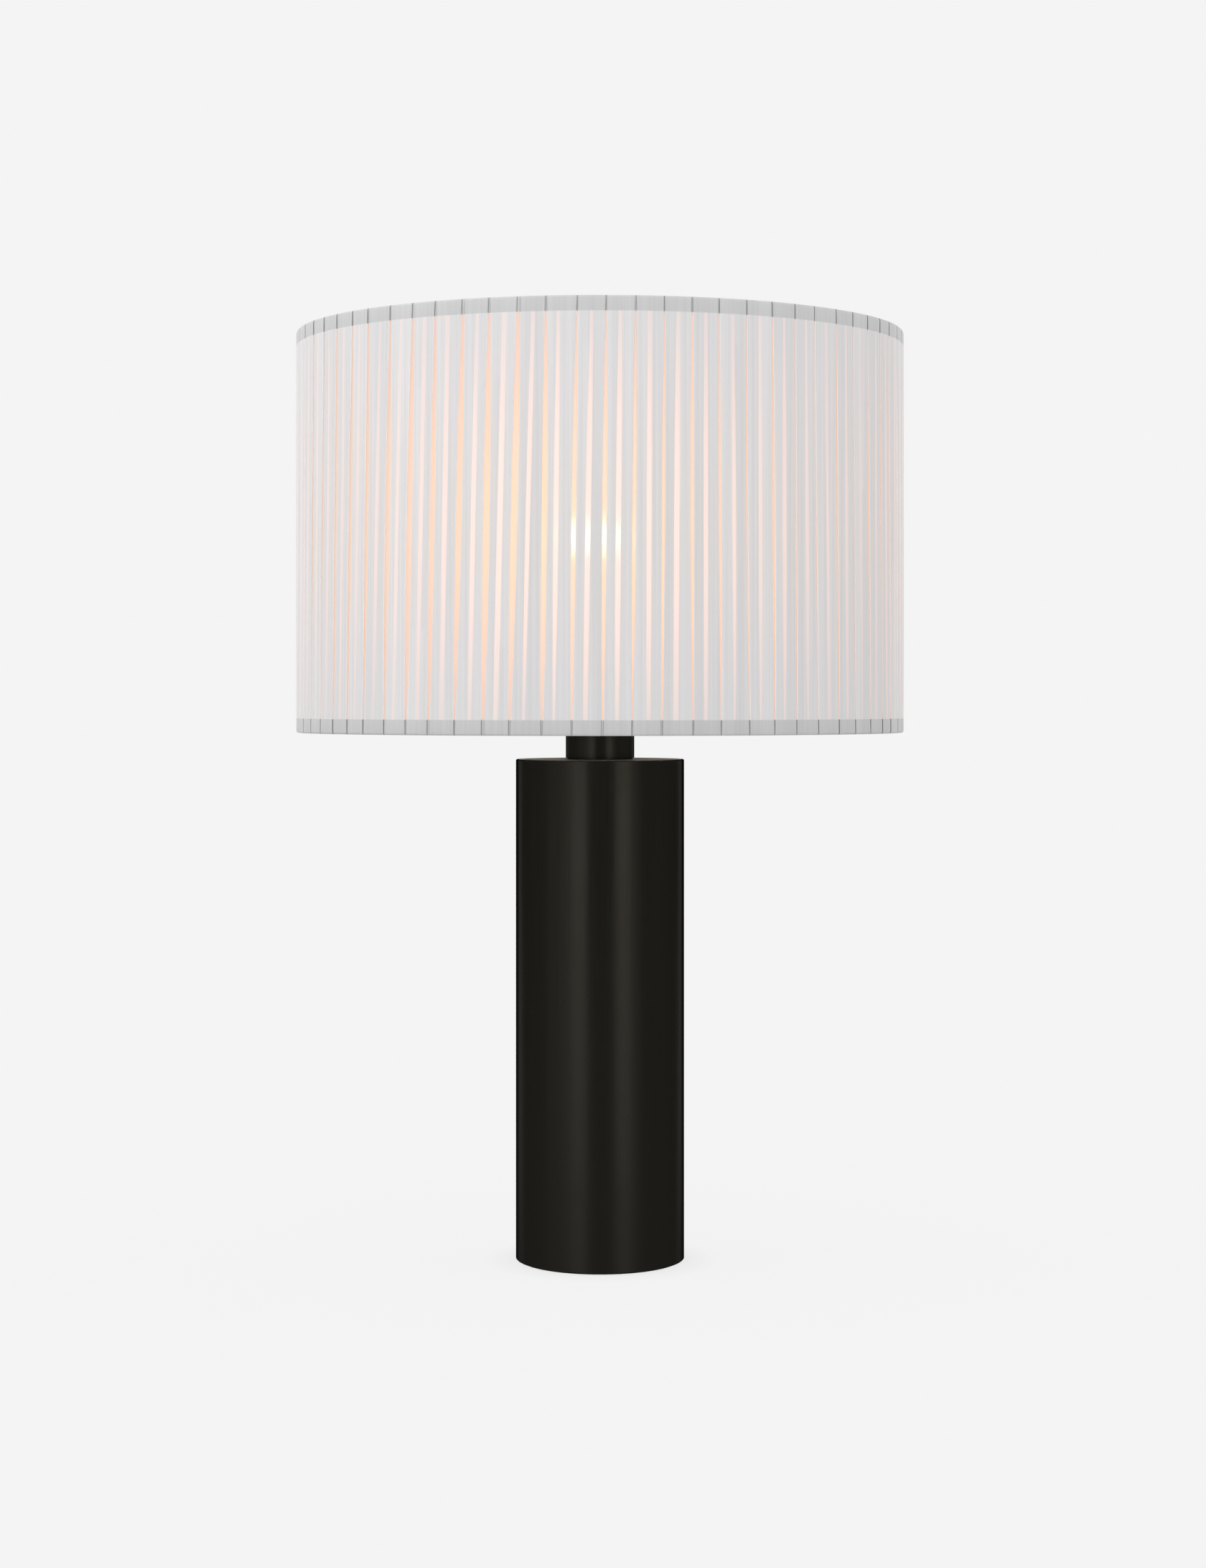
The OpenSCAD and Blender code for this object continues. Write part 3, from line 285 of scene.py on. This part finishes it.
def pleated_cloth():
    """White cloth: three layers thick in the pleats, single and glowing in the strips."""
    s = Shader("pleated_cloth")
    thin = s.attribute("thin")
    gap = s.attribute("gap")
    crease = s.attribute("crease")
    mark = s.attribute("mark")
    tint = s.attribute("tint")
    height = s.axis("Z")
    band = s.math(
        "MAXIMUM",
        s.span(height, SHADE_TOP - BAND_H - 0.3 * MM, SHADE_TOP - BAND_H + 0.3 * MM),
        s.span(height, SHADE_BOTTOM + BAND_H + 0.3 * MM, SHADE_BOTTOM + BAND_H - 0.3 * MM),
    )
    open_share = s.math("SUBTRACT", 1.0, band)
    single = s.math("MULTIPLY", thin, open_share)
    middle = s.span(wall_light(s), 0.58, 1.0)
    threads = s.noise((2600, 2600, 900), detail=2.0)
    folds = s.noise((420, 420, 5), detail=3.0)
    ribs = s.noise((900, 900, 3), detail=1.0)

    uneven = s.math("ADD", folds, s.math("MULTIPLY", tint, 0.45))
    duller, whiter = (0.655, 0.656, 0.664, 1), (0.735, 0.736, 0.742, 1)
    layered = s.mix(s.span(uneven, 0.35, 1.1), duller, whiter)
    # Single cloth reflects less than three layers. The gap strips' warmer, darker colour also
    # paints in the bulb's warm light and the shade of their recess.
    body = s.mix(single, layered, s.mix(gap, (0.60, 0.585, 0.585, 1), (0.515, 0.46, 0.43, 1)))
    # Painted shade: the trim bands, where the bulb's light doesn't come through, are darkened.
    body = s.mix(s.math("MULTIPLY", band, 0.33), body, (0.3, 0.3, 0.3, 1))
    # Painted shade: dark lines along the fold creases, stronger in the trim bands and beside
    # some strips.
    painted_crevice_shade = s.math("MULTIPLY", crease, s.span(band, 0, 1, 0.02, 0.58))
    painted_shade_line = s.math("MAXIMUM", painted_crevice_shade, s.math("MULTIPLY", mark, 0.22))
    body = s.mix(painted_shade_line, body, (0.12, 0.125, 0.135, 1))
    body = s.mix(s.span(threads, 0.35, 0.7, 0.0, 0.07), body, (0.4, 0.4, 0.4, 1))
    body = s.mix(s.span(ribs, 0.45, 0.65, 0.0, 0.1), body, (0.4, 0.4, 0.42, 1))

    # Painted light: the bulb's light through the single cloth is painted as emission, brighter
    # level with the bulb.
    pink = s.mix(middle, (0.20, 0.13, 0.125, 1), (0.26, 0.165, 0.145, 1))
    orange = s.mix(middle, (0.33, 0.185, 0.15, 1), (0.37, 0.22, 0.13, 1))
    strip_glow = s.mix(gap, pink, orange)
    strip_glow = s.mix(s.math("MULTIPLY", tint, 0.3), strip_glow, (0.28, 0.23, 0.19, 1))
    # Painted light: a faint glow on the three-layer faces, and a brighter painted glow on the
    # crease walls that lifts their shade.
    face_glow = s.mix(middle, (0.022, 0.02, 0.02, 1), (0.046, 0.026, 0.022, 1))
    face_glow = s.mix(crease, face_glow, (0.30, 0.28, 0.28, 1))
    glow = s.mix(thin, face_glow, strip_glow)

    normal = s.bump(s.math("ADD", threads, s.math("MULTIPLY", folds, 0.6)), 0.03 * MM)
    inputs = {
        "Base Color": body,
        "Roughness": 0.92,
        "Sheen Weight": 0.15,
        "Emission Color": glow,
        "Emission Strength": open_share,
        "Normal": normal,
    }
    cloth = s.add("BsdfPrincipled", inputs).outputs[0]
    warm = s.mix(gap, (1, 0.62, 0.42, 1), (1, 0.55, 0.25, 1))
    wide = light_through(s, s.mix(single, (1, 0.60, 0.46, 1), warm), 2.0)
    wide_share = s.span(thin, 0, 1, 0.034, 0.048)
    in_gap = s.math("MULTIPLY", thin, gap)
    wide_share = s.math("ADD", wide_share, s.math("MULTIPLY", in_gap, 0.016))
    wide_share = s.math("MULTIPLY", open_share, wide_share)
    narrow = light_through(s, (1, 1, 1, 1), 1.045)
    narrow_share = s.math("MULTIPLY", s.span(gap, 0, 1, 0.0023, 0.0054), single)
    narrow_share = s.math("ADD", narrow_share, 0.0002)
    cloth = s.add("MixShader", {0: wide_share, 1: cloth, 2: wide}).outputs[0]
    return s.surface(s.add("MixShader", {0: narrow_share, 1: cloth, 2: narrow}).outputs[0])


def liner_sheet():
    """Translucent styrene: the bulb's light passes to the cloth, and the inside looks lit."""
    s = Shader("liner")
    turn = s.math("ARCTAN2", s.axis("Y"), s.axis("X"))
    pleat_shadow = s.math("SINE", s.math("MULTIPLY", turn, 2 * PLEATS))
    haze = s.noise(even(60), detail=3.0)
    pale, shaded = (0.86, 0.83, 0.78, 1), (0.74, 0.70, 0.65, 1)
    tone = s.mix(s.span(pleat_shadow, -1, 1, 0.0, 0.35), pale, shaded)
    tone = s.mix(s.span(haze, 0.35, 0.65, 0.0, 0.12), tone, (0.7, 0.68, 0.64, 1))
    sheet = s.add("BsdfPrincipled", {"Base Color": tone, "Roughness": 0.55}).outputs[0]
    clear = s.add("BsdfTransparent", {"Color": (0.8, 0.76, 0.7, 1)}).outputs[0]
    shadow = s.add("LightPath").outputs["Is Shadow Ray"]
    return s.surface(s.add("MixShader", {0: shadow, 1: sheet, 2: clear}).outputs[0])


def frosted_globe():
    """The lit bulb: brightest round the filament, duller towards the neck."""
    s = Shader("frosted_globe")
    height = s.axis("Z")
    frost = s.noise(even(900), detail=2.0)
    share = s.span(height, GLOBE_Z - 1.8 * GLOBE_R, GLOBE_Z + 0.2 * GLOBE_R, smooth=True)
    glow = s.mix(share, (1.0, 0.66, 0.36, 1), (1.0, 0.88, 0.66, 1))
    inputs = {
        "Base Color": (0.62, 0.6, 0.56, 1),
        "Roughness": 0.35,
        "Emission Color": glow,
        "Emission Strength": s.span(share, 0, 1, 0.2, 0.4),
        "Normal": s.bump(frost, 0.02 * MM),
    }
    return s.surface(s.add("BsdfPrincipled", inputs).outputs[0])


def glowing_filament():
    s = Shader("filament")
    coil = s.wave(500.0, "X")
    inputs = {
        "Base Color": (0.5, 0.45, 0.4, 1),
        "Emission Color": (1.0, 0.72, 0.38, 1),
        "Emission Strength": s.span(coil, 0, 1, 6.0, 12.0),
    }
    return s.surface(s.add("BsdfPrincipled", inputs).outputs[0])


def clear_stem():
    s = Shader("clear_glass")
    drawn = s.noise((300, 300, 40), detail=2.0)
    inputs = {
        "Base Color": (0.9, 0.95, 0.94, 1),
        "Roughness": 0.04,
        "Transmission Weight": 1.0,
        "IOR": 1.48,
        "Normal": s.bump(drawn, 0.05 * MM),
    }
    return s.surface(s.add("BsdfPrincipled", inputs).outputs[0])


def dress(node, material):
    """Gives a CAD node its finished material."""
    slots = frame["nodes"][node].material_slots
    for slot in slots:
        slot.material = material
    if not slots:
        frame["nodes"][node].data.materials.append(material)


def dress_frame():
    upright = (1100, 1100, 14)
    all_round = even(500)
    column = bronze("bronze_column", upright, 0.22, mottled=True)
    neck = bronze("bronze_neck", upright, 0.22, mottled=False)
    turned = bronze("bronze_turned", all_round, 0.29, mottled=False)
    # The plate's grey, lighter and bluer than the column's bronze, is partly its own finish and
    # partly a painted reflection of the pale background it mirrors at a grazing look.
    plate = moulded("bronze_plate", (0.066, 0.066, 0.068), 0.5, 600, 0.01 * MM, gloss=0.03)
    steel = metal("zinc_steel", (0.42, 0.42, 0.41), 0.38, all_round, 0.01 * MM)
    nickel = metal("satin_nickel", (0.43, 0.42, 0.39), 0.36, even(700), 0.006 * MM)
    tarnish = ((0.42, 0.28, 0.11), 0.3, 70)
    brass = metal("brass", BRASS, 0.28, even(900), 0.004 * MM, spots=tarnish)
    iron = metal("cast_iron", (0.05, 0.05, 0.052), 0.62, even(420), 0.12 * MM)
    thread_brass = threaded("threaded_brass", BRASS, 0.3, LAMP_THREAD, 0.45 * MM)
    aluminium = (0.58, 0.58, 0.57)
    thread_aluminium = threaded("threaded_aluminium", aluminium, 0.36, LAMP_THREAD, 0.45 * MM)
    rod_thread = threaded("rod_thread", (0.45, 0.45, 0.44), 0.34, ROD_THREAD, 0.25 * MM)
    stud_thread = threaded("stud_thread", (0.6, 0.42, 0.17), 0.3, ROD_THREAD, 0.2 * MM)
    phenolic = moulded("phenolic", (0.011, 0.010, 0.009), 0.24, 600, 0.008 * MM)
    finishes = {
        column: ["column_tube"],
        neck: ["neck_cup", "neck_ring"],
        turned: ["finial"],
        plate: ["top_plate"],
        iron: ["base_weight"],
        steel: ["bottom_cover", "cover_screws", "rod_washer", "rod_nut", "socket_set_screw"],
        nickel: [
            "harp_saddle",
            "harp_wire",
            "harp_sleeve_left",
            "harp_sleeve_right",
            "spider_fitter",
            "bottom_ring",
        ],
        brass: [
            "lock_nut",
            "socket_cap",
            "socket_shell",
            "terminal_screws",
            "centre_contact",
            "bulb_contact",
        ],
        thread_brass: ["screw_shell"],
        thread_aluminium: ["bulb_cap"],
        rod_thread: ["threaded_rod"],
        stud_thread: ["harp_stud"],
        phenolic: ["socket_body", "switch_knob"],
        moulded("black_glass", (0.008, 0.008, 0.010), 0.12, 200, 0.01 * MM): ["bulb_insulator"],
        moulded("inlet_plastic", (0.012, 0.012, 0.012), 0.5, 900, 0.03 * MM): ["cord_bushing"],
        moulded("lead_jacket", (0.70, 0.69, 0.64), 0.45, 300, 0.02 * MM): ["lead_wires"],
        woven("fibre", (0.42, 0.30, 0.17), 400, 0.03 * MM): ["socket_insulator"],
        liner_sheet(): ["shade_liner"],
        frosted_globe(): ["bulb_glass"],
        clear_stem(): ["bulb_stem"],
        glowing_filament(): ["bulb_filament"],
    }
    for material, nodes in finishes.items():
        for node in nodes:
            dress(node, material)
    for node in ("bulb_glass", "bulb_stem", "bulb_filament"):
        frame["nodes"][node].visible_shadow = False


def new_object(name, vertices, faces, material):
    mesh = bpy.data.meshes.new(name)
    mesh.from_pydata(vertices, [], faces)
    mesh.materials.append(material)
    mesh.shade_smooth()
    made = bpy.data.objects.new(name, mesh)
    bpy.context.scene.collection.objects.link(made)
    return made


class Strip:
    """The upright band between two folded edges: its middle and half width at each height."""

    def __init__(self, rng, width, spread, narrow, lean):
        self.width = min(max(rng.gauss(width, spread), 0.55 * width), 1.8 * width)
        self.narrow = (rng.uniform(*narrow), rng.uniform(*narrow))
        self.shift = rng.gauss(0, 0.6 * MM)
        self.lean = rng.gauss(lean, 0.45 * MM)
        self.bow = rng.gauss(0, 0.25 * MM)
        self.power = rng.uniform(1.6, 3.2)
        self.tint = rng.random()
        self.mark = rng.random() ** 6

    def at(self, t):
        """t runs from -1 at the bottom to 1 at the top."""
        narrow = self.narrow[t > 0]
        half = self.width / 2 * (narrow + (1 - narrow) * (1 - abs(t) ** self.power))
        return self.shift + self.lean * t + self.bow * t * t, half


def cloth_columns(t, start, gap, middle, next_gap):
    """One pleat at one height, as (place round the shade, depth share, thin, gap, crease)."""
    shift, half = gap.at(t)
    centre = start + shift
    left = centre + half
    left_edge = min(CREASE_W, 0.8 * half)
    shift, half = next_gap.at(t)
    right = start + PITCH + shift - half
    right_edge = min(CREASE_W, 0.8 * half)
    shift, half = middle.at(t)
    inner_left = start + PITCH / 2 + shift - half
    inner_right = start + PITCH / 2 + shift + half
    soft = min(STRIP_EDGE, 0.8 * half)
    return [
        (centre, 1.0, 1, 1, 0),
        (left - left_edge, 1.0, 1, 1, 0),
        (left + 0.1 * left_edge, 1.0, 1, 1, 1),
        (inner_left, 1.0, 0, 1, 0),
        (inner_left, 0.8, 0, 0, 0),
        (left + CREASE_W, 0.8, 0, 0, 1),
        (left, 0.5, 0, 0, 1),
        (left + 0.3 * FOLD_ROUND, 0.16, 0, 0, 0.3),
        (left + 1.4 * FOLD_ROUND, 0.03, 0, 0, 0),
        (left + 2.8 * FOLD_ROUND, 0.0, 0, 0, 0),
        (inner_left - soft, 0.0, 0, 0, 0),
        (inner_left + soft, 0.0, 1, 0, 0),
        (inner_right - soft, 0.0, 1, 0, 0),
        (inner_right + soft, 0.0, 0, 0, 0),
        (right - 2.8 * FOLD_ROUND, 0.0, 0, 0, 0),
        (right - 1.4 * FOLD_ROUND, 0.03, 0, 0, 0),
        (right - 0.3 * FOLD_ROUND, 0.16, 0, 0, 0.3),
        (right, 0.5, 0, 0, 1),
        (right - CREASE_W, 0.8, 0, 0, 1),
        (inner_right, 0.8, 0, 0, 0),
        (inner_right, 1.0, 0, 1, 0),
        (right - 0.1 * right_edge, 1.0, 1, 1, 1),
        (right + right_edge, 1.0, 1, 1, 0),
    ]


def cloth_rows():
    """(height, inset) of each row from the bottom up: the rims curl in over the liner."""
    rim = [(0.6, 2.1), (0.1, 1.9), (0.0, 1.4), (0.15, 0.7), (0.6, 0.2), (1.4, 0.0)]
    lower = [(SHADE_BOTTOM + rise * MM, inset * MM) for rise, inset in rim]
    upper = [(SHADE_TOP - rise * MM, inset * MM) for rise, inset in reversed(rim)]
    step = (upper[0][0] - lower[-1][0]) / CLOTH_ROWS
    return lower + [(lower[-1][0] + step * i, 0.0) for i in range(1, CLOTH_ROWS)] + upper


def pleated_cover():
    rng = random.Random(7)
    turns = [math.tau * k / PLEATS for k in range(PLEATS)]
    leans = [(0.65 - 2.45 * math.tanh(2.4 * math.sin(turn - 0.17))) * MM for turn in turns]
    widths = [GAP_W - 1.2 * MM * math.sin(3 * turn) for turn in turns]
    slots = zip(widths, leans)
    gaps = [Strip(rng, width, 0.45 * MM, (0.12, 0.5), lean) for width, lean in slots]
    middles = [Strip(rng, MIDDLE_W, 0.5 * MM, (0.35, 0.9), lean) for lean in leans]
    puffs = [(rng.uniform(-0.1, 0.12) * MM, rng.uniform(0, math.tau)) for _ in range(PLEATS)]
    rows = cloth_rows()
    vertices = []
    marks = {"thin": [], "gap": [], "crease": [], "mark": [], "tint": []}
    for z, inset in rows:
        t = 2 * (z - SHADE_BOTTOM) / (SHADE_TOP - SHADE_BOTTOM) - 1
        depth = FOLD_DEPTH_AT_BAND + (FOLD_DEPTH - FOLD_DEPTH_AT_BAND) * (1 - t**4)
        depth = depth * (1 - 0.9 * inset / RIM_INSET)
        for k in range(PLEATS):
            start = (k + 0.14) * PITCH
            puff, phase = puffs[k]
            swell = puff * (1 - t * t) * (1 + 0.4 * math.sin(5 * t + phase))
            next_gap = gaps[(k + 1) % PLEATS]
            columns = cloth_columns(t, start, gaps[k], middles[k], next_gap)
            for place, sunk, thin, gap, crease in columns:
                radius = SHADE_R - inset - depth * sunk + swell * (sunk == 0)
                turn = place / SHADE_R - math.pi / 2
                vertices.append((radius * math.cos(turn), radius * math.sin(turn), z))
                left_side = place < start + PITCH / 2
                side_gap = gaps[k] if left_side else next_gap
                strip = side_gap if gap or (left_side and not thin) else middles[k]
                marks["thin"].append(thin)
                marks["gap"].append(gap)
                marks["crease"].append(crease)
                marks["mark"].append(crease * side_gap.mark)
                marks["tint"].append(strip.tint)
    across = len(vertices) // len(rows)
    faces = []
    for row in range(len(rows) - 1):
        for i in range(across):
            a = row * across + i
            b = row * across + (i + 1) % across
            faces.append((a, b, b + across, a + across))
    cover = new_object("pleated_cloth", vertices, faces, pleated_cloth())
    for name, values in marks.items():
        cover.data.attributes.new(name, "FLOAT", "POINT").data.foreach_set("value", values)
    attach(cover, "shade")
    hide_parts("pleated_cover")
    return cover


def swept_ring(name, outline, closed, steps, waves, material):
    """Sweeps (radius, height, give) points round the Z axis; give is how far a point strays.

    waves are (count round the ring, phase), and together they say how far at each place.
    """
    vertices = []
    for i in range(steps):
        turn = math.tau * i / steps
        stray = sum(math.sin(count * turn + phase) for count, phase in waves) / len(waves)
        for radius, height, give in outline:
            reach = radius + give * stray
            vertices.append((reach * math.cos(turn), reach * math.sin(turn), height))
    across = len(outline)
    faces = []
    for i in range(steps):
        for j in range(across if closed else across - 1):
            a = i * across + j
            b = i * across + (j + 1) % across
            c = (i + 1) % steps * across
            faces.append((a, c + j, c + (j + 1) % across, b))
    return new_object(name, vertices, faces, material)


def glued_tape(name, node, material):
    """Cotton tape with its two edges turned under, glued inside the liner round a ring."""
    low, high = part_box(node)
    back = (high.y - low.y) / 2
    front = back - TAPE_T
    edge = [(back, 1.6), (back, 0.25), (back - 0.08 * MM, 0.06), (back - 0.2 * MM, 0.0)]
    edge += [(front + 0.08 * MM, 0.06), (front, 0.25), (front, 1.5), (front + 0.12 * MM, 2.0)]
    outline = [(radius, low.z + rise * MM, 0.03 * MM) for radius, rise in edge]
    outline += [(radius, high.z - rise * MM, 0.03 * MM) for radius, rise in reversed(edge)]
    tape = swept_ring(name, outline, False, 240, ((17, 0.4), (41, 2.0), (63, 4.1)), material)
    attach(tape, "shade")
    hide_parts(node)


def felt_ring():
    """The felt under the foot: soft edges, and sides that stray a little where it was cut."""
    low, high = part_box("foot_pad")
    outer = (high.y - low.y) / 2
    sides = []
    for radius, inward in ((FELT_INNER_R, 1), (outer, -1)):
        corner = [(0.45, 0.0), (0.12, 0.14), (0.0, 0.5)]
        sides.append([(radius + inward * inset * MM, rise * MM) for inset, rise in corner])
        sides[-1] += [(x, high.z - z) for x, z in reversed(sides[-1])]
    outline = [(x, z, 0.12 * MM) for x, z in sides[0] + sides[1][::-1]]
    felt = woven("felt", (0.022, 0.024, 0.022), 90, 0.25 * MM)
    ring = swept_ring("felt_ring", outline, True, 360, ((37, 1.2), (61, 0.3), (97, 3.3)), felt)
    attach(ring, "base")
    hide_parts("foot_pad")


def soft_light(name, place, aim, width, height, radiance, seen_on=None):
    """A flat panel of even brightness, aimed at a point. seen_on is as in glow_light."""
    light = bpy.data.lights.new(name, "AREA")
    light.shape = "RECTANGLE"
    light.size = width
    light.size_y = height
    light.energy = radiance * width * height * math.pi
    made = bpy.data.objects.new(name, light)
    made.location = place
    away = [place[i] - aim[i] for i in range(3)]
    flat = math.hypot(away[0], away[1])
    made.rotation_euler = (math.atan2(flat, away[2]), 0, math.atan2(away[0], -away[1]))
    made.visible_camera = False
    if seen_on:
        made.light_linking.receiver_collection = seen_on
    bpy.context.scene.collection.objects.link(made)


def round_about(turn, distance, height):
    """A place at a turn in degrees to the camera's right, as seen from the lamp."""
    a = math.radians(turn)
    return (distance * math.sin(a), -distance * math.cos(a), height)


def glow_light(name, place, power, radius, colour, seen_on=None):
    """A warm light in the bulb. With seen_on, a collection, it lights only what is in it."""
    light = bpy.data.lights.new(name, "POINT")
    light.energy = power
    light.shadow_soft_size = radius
    light.color = colour
    made = bpy.data.objects.new(name, light)
    made.location = place
    made.visible_camera = False
    if seen_on:
        made.light_linking.receiver_collection = seen_on
    bpy.context.scene.collection.objects.link(made)


def upright_panel(name, turn, width, radiance, seen_on=None):
    place = round_about(turn, PANEL_DISTANCE, PANEL_AIM[2])
    soft_light(name, place, PANEL_AIM, width, PANEL_H, radiance, seen_on)


def lights(cover):
    """Panels round the lamp, fills for the bronze alone, and the lights in the bulb.

    The filament and streak lights reach only the cloth, so that the shade's inside doesn't clip.
    """
    upright_panel("left_panel", -27.5, PANEL_W, 2.05)
    upright_panel("right_panel", 31, PANEL_W, 2.1)
    metal_parts = bpy.data.collections.new("metal")
    for node in ("column_tube", "neck_cup", "neck_ring"):
        metal_parts.objects.link(frame["nodes"][node])
    upright_panel("left_fill", -45, 0.4, 0.9, metal_parts)
    upright_panel("far_left_fill", -64, 0.6, 0.45, metal_parts)
    upright_panel("right_fill", 47, 0.35, 0.6, metal_parts)
    soft_light("left_side_panel", round_about(-90, 1.7, 1.5), SIDE_AIM, 1.3, 1.3, 3.2)
    soft_light("right_side_panel", round_about(100, 1.7, 1.4), SIDE_AIM, 1.3, 1.3, 2.4)
    soft_light("top_panel", (-0.1, -0.75, 1.45), SIDE_AIM, 0.9, 0.9, 2.05)
    soft_light("back_left_panel", round_about(-150, 1.6, 0.5), PANEL_AIM, 0.7, PANEL_H, 1.5)
    soft_light("back_right_panel", round_about(150, 1.6, 0.5), PANEL_AIM, 0.7, PANEL_H, 1.5)
    glow_light("bulb_light", (0, 0, GLOBE_Z), 0.45, 0.9 * GLOBE_R, (1.0, 0.84, 0.6))
    cloth = bpy.data.collections.new("cloth")
    cloth.objects.link(cover)
    white_hot = (1.0, 0.92, 0.8)
    yellow = (1.0, 0.86, 0.6)
    for i in range(6):
        x, y, z = round_about(60 * i + 30, 14 * MM, GLOBE_Z - 5 * MM)
        glow_light(f"filament_light_{i}", (x + GLOW_X, y, z), 0.44, 6 * MM, white_hot, cloth)
    for i, rise in enumerate((-95, -70, -45, 45, 70)):
        place = (GLOW_X, 0, GLOBE_Z + rise * MM)
        glow_light(f"streak_light_{i}", place, 0.1, 14 * MM, yellow, cloth)


def seen_directly(tree):
    """1 for rays that come from the camera, a reflection or glass, else 0."""
    path = tree.nodes.new("ShaderNodeLightPath")
    share = path.outputs["Is Camera Ray"]
    for name in ("Is Glossy Ray", "Is Transmission Ray"):
        larger = tree.nodes.new("ShaderNodeMath")
        larger.operation = "MAXIMUM"
        tree.links.new(share, larger.inputs[0])
        tree.links.new(path.outputs[name], larger.inputs[1])
        share = larger.outputs[0]
    return share


def world():
    made = bpy.data.worlds.new("studio")
    bpy.context.scene.world = made
    made.use_nodes = True
    tree = made.node_tree
    tree.nodes.clear()
    lit = tree.nodes.new("ShaderNodeBackground")
    lit.inputs["Color"].default_value = (1, 1, 1, 1)
    lit.inputs["Strength"].default_value = 0.42
    page = tree.nodes.new("ShaderNodeBackground")
    page.inputs["Color"].default_value = WHITE_PAGE
    both = tree.nodes.new("ShaderNodeMixShader")
    tree.links.new(seen_directly(tree), both.inputs[0])
    tree.links.new(lit.outputs[0], both.inputs[1])
    tree.links.new(page.outputs[0], both.inputs[2])
    out = tree.nodes.new("ShaderNodeOutputWorld")
    tree.links.new(both.outputs[0], out.inputs["Surface"])


def floor():
    """A pale floor that reads as the page, with part of the object's shadow on it."""
    s = Shader("floor")
    paper = s.noise(even(3), detail=1.0)
    tone = s.mix(paper, (0.60, 0.60, 0.60, 1), (0.61, 0.61, 0.61, 1))
    diffuse = s.add("BsdfDiffuse", {"Color": tone}).outputs[0]
    page = s.add("Emission", {"Color": WHITE_PAGE}).outputs[0]
    across, along = s.math("POWER", s.axis("X"), 2), s.math("POWER", s.axis("Y"), 2)
    far = s.math("SQRT", s.math("ADD", across, along))
    near_share = s.span(far, 0.058, 0.08, 0.86, 0.96)
    share = s.math("ADD", near_share, s.span(far, 0.08, 0.5, 0.0, 0.04))
    share = s.math("MULTIPLY", seen_directly(s.tree), share)
    over = s.add("MixShader", {0: share, 1: diffuse, 2: page}).outputs[0]
    under = s.add("BsdfTransparent").outputs[0]
    back = s.add("NewGeometry").outputs["Backfacing"]
    s.surface(s.add("MixShader", {0: back, 1: over, 2: under}).outputs[0])
    signs = ((-1, -1), (1, -1), (1, 1), (-1, 1))
    corners = [(x * FLOOR_REACH, y * FLOOR_REACH, -0.1 * MM) for x, y in signs]
    ground = new_object("floor", corners, [(0, 1, 2, 3)], s.material)
    ground.visible_glossy = False


def camera():
    """Upright, so that the lamp's edges stay parallel; the shift gives the photo's framing."""
    lens = bpy.data.cameras.new("camera")
    lens.sensor_width = 36.0
    lens.lens = 66.66
    lens.shift_y = -0.0543
    lens.clip_end = 100.0
    made = bpy.data.objects.new("camera", lens)
    made.location = (0.002, -1.952, 0.3765)
    made.rotation_euler = (math.radians(90), 0, 0)
    bpy.context.scene.collection.objects.link(made)
    bpy.context.scene.camera = made


bpy.context.scene.view_settings.view_transform = "Standard"
camera()
world()
floor()
dress_frame()
felt_ring()
cotton = woven("cotton_tape", (0.66, 0.63, 0.60), 320, 0.08 * MM)
glued_tape("top_binding", "top_tape", cotton)
glued_tape("bottom_binding", "bottom_tape", cotton)
lights(pleated_cover())
